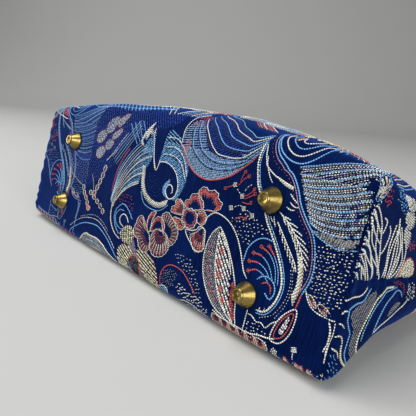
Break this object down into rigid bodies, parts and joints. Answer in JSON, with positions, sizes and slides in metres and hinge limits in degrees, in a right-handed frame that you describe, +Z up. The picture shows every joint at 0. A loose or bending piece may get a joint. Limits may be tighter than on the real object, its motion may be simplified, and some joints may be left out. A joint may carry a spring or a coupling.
{
  "type": "chain shoulder bag",
  "caption": "Brocade shoulder bag with a boxed base on brass feet, a flared open mouth and a chain strap clipped to rings at the mouth's ends, lying on its back panel.",
  "frame": {"origin": "on the surface that the bag lies on, under the middle of its back panel, half way from base to mouth", "axes": "+X along the base, to the right as seen from the base side; +Y from the base to the mouth; +Z up"},
  "size_m": [0.298, 0.3098, 0.1],
  "materials": {
    "brocade": "figured jacquard satin",
    "brocade_facing": "jacquard satin",
    "lining_satin": "plain satin",
    "board": "plain stiffener board",
    "antique_brass": "antiqued, satin",
    "washer_steel": "plain",
    "snap_brass": "antiqued, satin",
    "tab_cloth": "jacquard satin, folded",
    "ring_brass": "antiqued, satin",
    "clasp_brass": "antiqued, satin",
    "chain_brass": "antiqued, satin"
  },
  "bodies": {
    "bag": {"brocade_shell": "brocade", "mouth_facing": "brocade_facing", "lining": "lining_satin", "base_board": "board", "foot_front_left": "antique_brass", "foot_front_right": "antique_brass", "foot_back_left": "antique_brass", "foot_back_right": "antique_brass", "foot_washers": "washer_steel", "snap_stud": "snap_brass", "snap_cup": "snap_brass", "strap_tab_left": "tab_cloth", "strap_tab_right": "tab_cloth"},
    "strap": {"d_ring_left": "ring_brass", "d_ring_right": "ring_brass", "clasp_left": "clasp_brass", "clasp_right": "clasp_brass", "chain": "chain_brass"},
    "left_gate": {"gate_left": "clasp_brass"},
    "right_gate": {"gate_right": "clasp_brass"}
  },
  "joints": [
    {"name": "strap_swing", "type": "hinge", "parent": "bag", "child": "strap", "pos_m": [0, 0.10765, 0.0047], "axis": [1, 0, 0], "range_deg": [0, 92]},
    {"name": "left_gate_open", "type": "hinge", "parent": "strap", "child": "left_gate", "pos_m": [-0.124, 0.12811, 0.01168], "axis": [0.866, 0, -0.5], "range_deg": [0, 20], "stiffness_Nm_per_rad": 0.02, "springref_deg": -20.05},
    {"name": "right_gate_open", "type": "hinge", "parent": "strap", "child": "right_gate", "pos_m": [0.124, 0.12811, 0.01168], "axis": [0.866, 0, 0.5], "range_deg": [0, 20], "stiffness_Nm_per_rad": 0.02, "springref_deg": -20.05}
  ]
}
